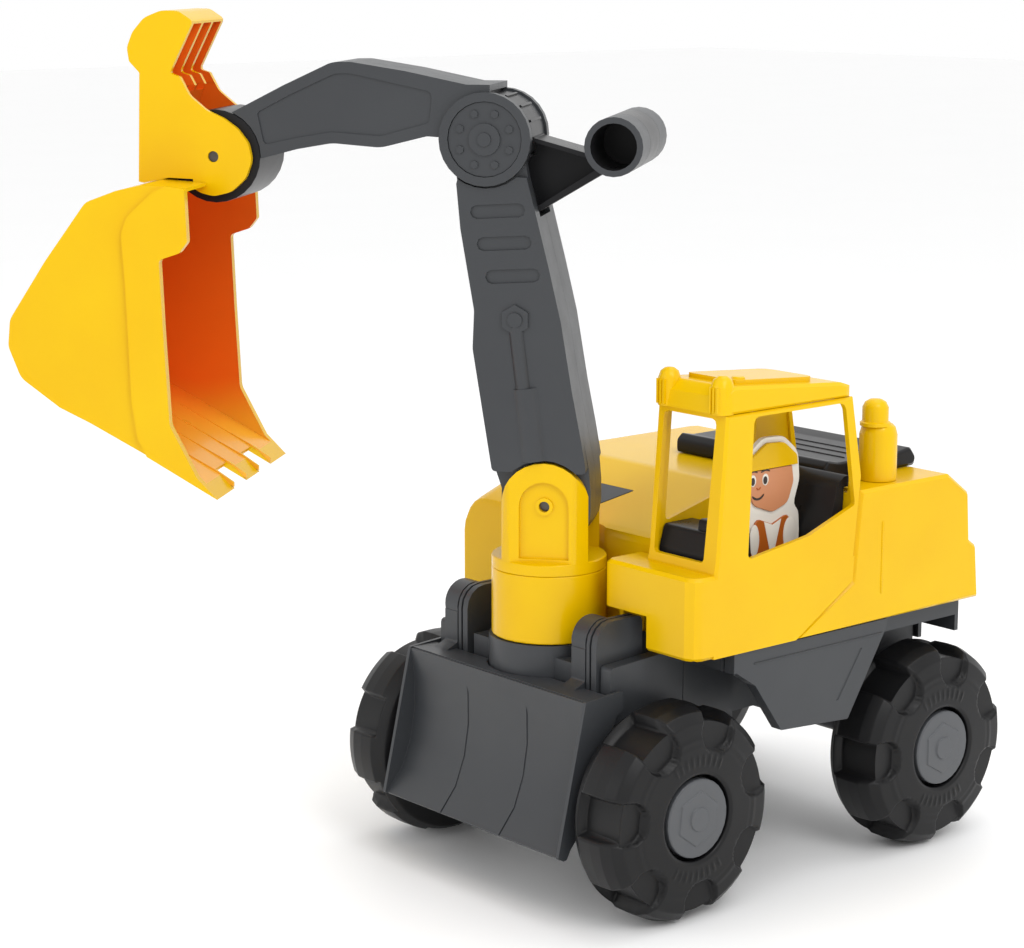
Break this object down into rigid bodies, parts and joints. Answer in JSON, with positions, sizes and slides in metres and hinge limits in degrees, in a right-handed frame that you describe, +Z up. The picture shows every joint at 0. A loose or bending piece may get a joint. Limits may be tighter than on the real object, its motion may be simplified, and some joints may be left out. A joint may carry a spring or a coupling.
{
  "type": "ride on digger",
  "caption": "Ride-on toy digger with four lugged wheels, a swinging mast, jointed boom, arm and bucket, a front blade, a cab and a rear saddle.",
  "frame": {"origin": "middle of the whole digger's bounding box in plan, at the lowest point of the tyres", "axes": "+X forward along the chassis, +Y to the digger's left, +Z up"},
  "size_m": [0.6556, 0.5174, 0.6442],
  "materials": {
    "tyre": "moulded black, satin",
    "dark": "dark grey moulded, satin",
    "cap": "mid grey moulded, satin",
    "yellow": "glossy moulded yellow",
    "black": "glossy moulded black",
    "steel": "plain steel",
    "white": "printed white",
    "skin": "printed tan",
    "vest": "printed orange brown"
  },
  "bodies": {
    "chassis": {"chassis_frame": "dark", "side_skirt_left": "dark", "side_skirt_right": "dark", "front_carrier": "dark", "body_shell": "yellow", "hood_vent": "dark", "cab_shell": "yellow", "cab_roof": "yellow", "exhaust_stack": "yellow", "ride_seat": "black", "cab_interior": "black", "driver_plate": "white", "driver_face": "skin", "driver_helmet": "yellow", "driver_vest": "vest", "swing_bolt": "steel", "blade_pin_left": "steel", "blade_pin_right": "steel", "axle_front": "steel", "axle_rear": "steel", "axle_clip_front_left": "steel", "axle_clip_front_right": "steel", "axle_clip_rear_left": "steel", "axle_clip_rear_right": "steel"},
    "wheel_front_left": {"tyre_front_left": "tyre", "hub_cap_front_left": "cap"},
    "wheel_front_right": {"tyre_front_right": "tyre", "hub_cap_front_right": "cap"},
    "wheel_rear_left": {"tyre_rear_left": "tyre", "hub_cap_rear_left": "cap"},
    "wheel_rear_right": {"tyre_rear_right": "tyre", "hub_cap_rear_right": "cap"},
    "blade": {"dozer_blade": "dark"},
    "mast": {"mast_sleeve": "yellow", "turret_clevis": "yellow", "boom_pin": "steel"},
    "boom": {"boom_half_left": "dark", "boom_half_right": "dark", "lever_bracket": "black", "handle_tube": "dark", "arm_pin": "steel"},
    "arm": {"arm_half_left": "dark", "arm_half_right": "dark", "arm_knuckle": "black", "joint_cap_left": "dark", "joint_cap_right": "dark"},
    "bucket": {"bucket_shell": "yellow", "bucket_grip": "yellow", "bucket_pin": "steel"}
  },
  "joints": [
    {"name": "mast_swing", "type": "hinge", "parent": "chassis", "child": "mast", "pos_m": [0.01811, 0.09625, -0.0004], "axis": [0, 0, 1], "range_deg": [-20, 105]},
    {"name": "boom_pivot", "type": "hinge", "parent": "mast", "child": "boom", "pos_m": [0.01685, 0.09781, 0.2881], "axis": [0.7793, 0.6266, 0], "range_deg": [-8, 18]},
    {"name": "arm_pivot", "type": "hinge", "parent": "boom", "child": "arm", "pos_m": [0.0438, 0.0643, 0.5546], "axis": [0.7793, 0.6266, 0], "range_deg": [-30, 8]},
    {"name": "bucket_pivot", "type": "hinge", "parent": "arm", "child": "bucket", "pos_m": [0.16975, -0.09235, 0.5396], "axis": [0.7793, 0.6266, 0], "range_deg": [-15, 22]},
    {"name": "blade_hinge", "type": "hinge", "parent": "chassis", "child": "blade", "pos_m": [0.03011, 0.09625, 0.1956], "axis": [0, -1, 0], "range_deg": [0, 25]},
    {"name": "wheel_spin_front_left", "type": "hinge", "parent": "chassis", "child": "wheel_front_left", "pos_m": [0.01611, 0.22875, 0.0796], "axis": [0, 1, 0], "continuous": true},
    {"name": "wheel_spin_front_right", "type": "hinge", "parent": "chassis", "child": "wheel_front_right", "pos_m": [0.01611, -0.03625, 0.0796], "axis": [0, 1, 0], "continuous": true},
    {"name": "wheel_spin_rear_left", "type": "hinge", "parent": "chassis", "child": "wheel_rear_left", "pos_m": [-0.24789, 0.22875, 0.0796], "axis": [0, 1, 0], "continuous": true},
    {"name": "wheel_spin_rear_right", "type": "hinge", "parent": "chassis", "child": "wheel_rear_right", "pos_m": [-0.24789, -0.03625, 0.0796], "axis": [0, 1, 0], "continuous": true}
  ]
}
